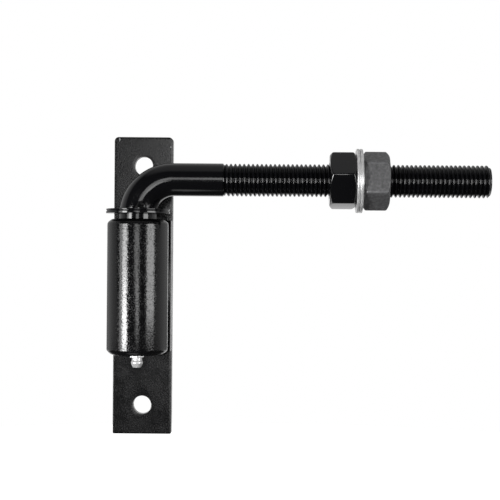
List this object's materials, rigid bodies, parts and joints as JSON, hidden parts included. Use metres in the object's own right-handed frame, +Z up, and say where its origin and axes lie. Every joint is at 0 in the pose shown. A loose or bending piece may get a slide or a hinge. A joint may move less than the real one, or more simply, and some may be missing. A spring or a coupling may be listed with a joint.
{
  "type": "j-bolt gate hinge",
  "caption": "Adjustable gate hinge: a J-shaped threaded bolt turns in a greasable barrel on a bolt-on plate, with nuts and washers to clamp the gate's upright.",
  "frame": {"origin": "midway between the plate's two bolt holes, on the plate's back face", "axes": "+X along the bolt's threaded arm, +Y back through the plate towards the post, +Z up"},
  "size_m": [0.2214, 0.0498, 0.1778],
  "materials": {
    "plate_paint": "satin black powder coat",
    "barrel_paint": "semi-gloss black powder coat with a fine hammered texture",
    "weld_paint": "weld bead under black powder coat",
    "bolt_paint": "gloss black coating",
    "nut_paint": "gloss black coating",
    "nut_oxide": "matte dark grey coating",
    "zinc": "bright zinc plating",
    "bronze": "bearing bronze",
    "bearing_steel": "ground steel"
  },
  "bodies": {
    "plate_and_barrel": {"mounting_plate": "plate_paint", "standoff_bar": "plate_paint", "barrel": "barrel_paint", "barrel_weld_right": "weld_paint", "barrel_weld_left": "weld_paint", "bar_weld_top": "weld_paint", "bar_weld_bottom": "weld_paint", "upper_bush": "bronze", "lower_bush": "bronze", "bottom_plug": "barrel_paint", "lower_race": "bearing_steel", "grease_nipple": "zinc", "nipple_spring": "bearing_steel"},
    "j_bolt": {"j_bolt": "bolt_paint", "retaining_ring": "bearing_steel", "dust_washer": "bolt_paint", "washer_tack": "weld_paint", "upper_race": "bearing_steel"},
    "bearing_cage": {"ball_cage": "bronze", "bearing_balls": "bearing_steel"},
    "inner_washer": {"inner_washer": "zinc"},
    "inner_nut": {"inner_nut": "nut_paint"},
    "outer_washer": {"outer_washer": "zinc"},
    "outer_nut": {"outer_nut": "nut_oxide"},
    "nipple_ball": {"nipple_ball": "bearing_steel"}
  },
  "joints": [
    {"name": "bolt_swing", "type": "hinge", "parent": "plate_and_barrel", "child": "j_bolt", "pos_m": [0, -0.03135, 0], "axis": [0, 0, 1], "range_deg": [-215, 35]},
    {"name": "bearing_turn", "type": "hinge", "parent": "plate_and_barrel", "child": "bearing_cage", "pos_m": [0, -0.03135, 0], "axis": [0, 0, 1], "range_deg": [-107.6, 17.6]},
    {"name": "inner_nut_travel", "type": "slide", "parent": "j_bolt", "child": "inner_washer", "axis": [1, 0, 0], "range_m": [-0.0559, 0]},
    {"name": "inner_nut_turn", "type": "hinge", "parent": "inner_washer", "child": "inner_nut", "pos_m": [0.118, -0.03135, 0.062], "axis": [1, 0, 0], "range_deg": [-7920, 0]},
    {"name": "outer_nut_travel", "type": "slide", "parent": "j_bolt", "child": "outer_washer", "axis": [1, 0, 0], "range_m": [0, 0.0559]},
    {"name": "outer_nut_turn", "type": "hinge", "parent": "outer_washer", "child": "outer_nut", "pos_m": [0.137, -0.03135, 0.062], "axis": [1, 0, 0], "range_deg": [0, 7920]},
    {"name": "nipple_ball_lift", "type": "slide", "parent": "plate_and_barrel", "child": "nipple_ball", "axis": [0, 0, 1], "range_m": [0, 0.0005], "stiffness_N_per_m": 300, "springref_m": -0.0005, "deforming": ["nipple_spring"]}
  ],
  "couplings": [
    {"joint": "bearing_turn", "follows": "bolt_swing", "ratio": 0.5},
    {"joint": "inner_nut_travel", "follows": "inner_nut_turn", "m_per_rad": 0.00040425},
    {"joint": "outer_nut_travel", "follows": "outer_nut_turn", "m_per_rad": 0.00040425}
  ]
}
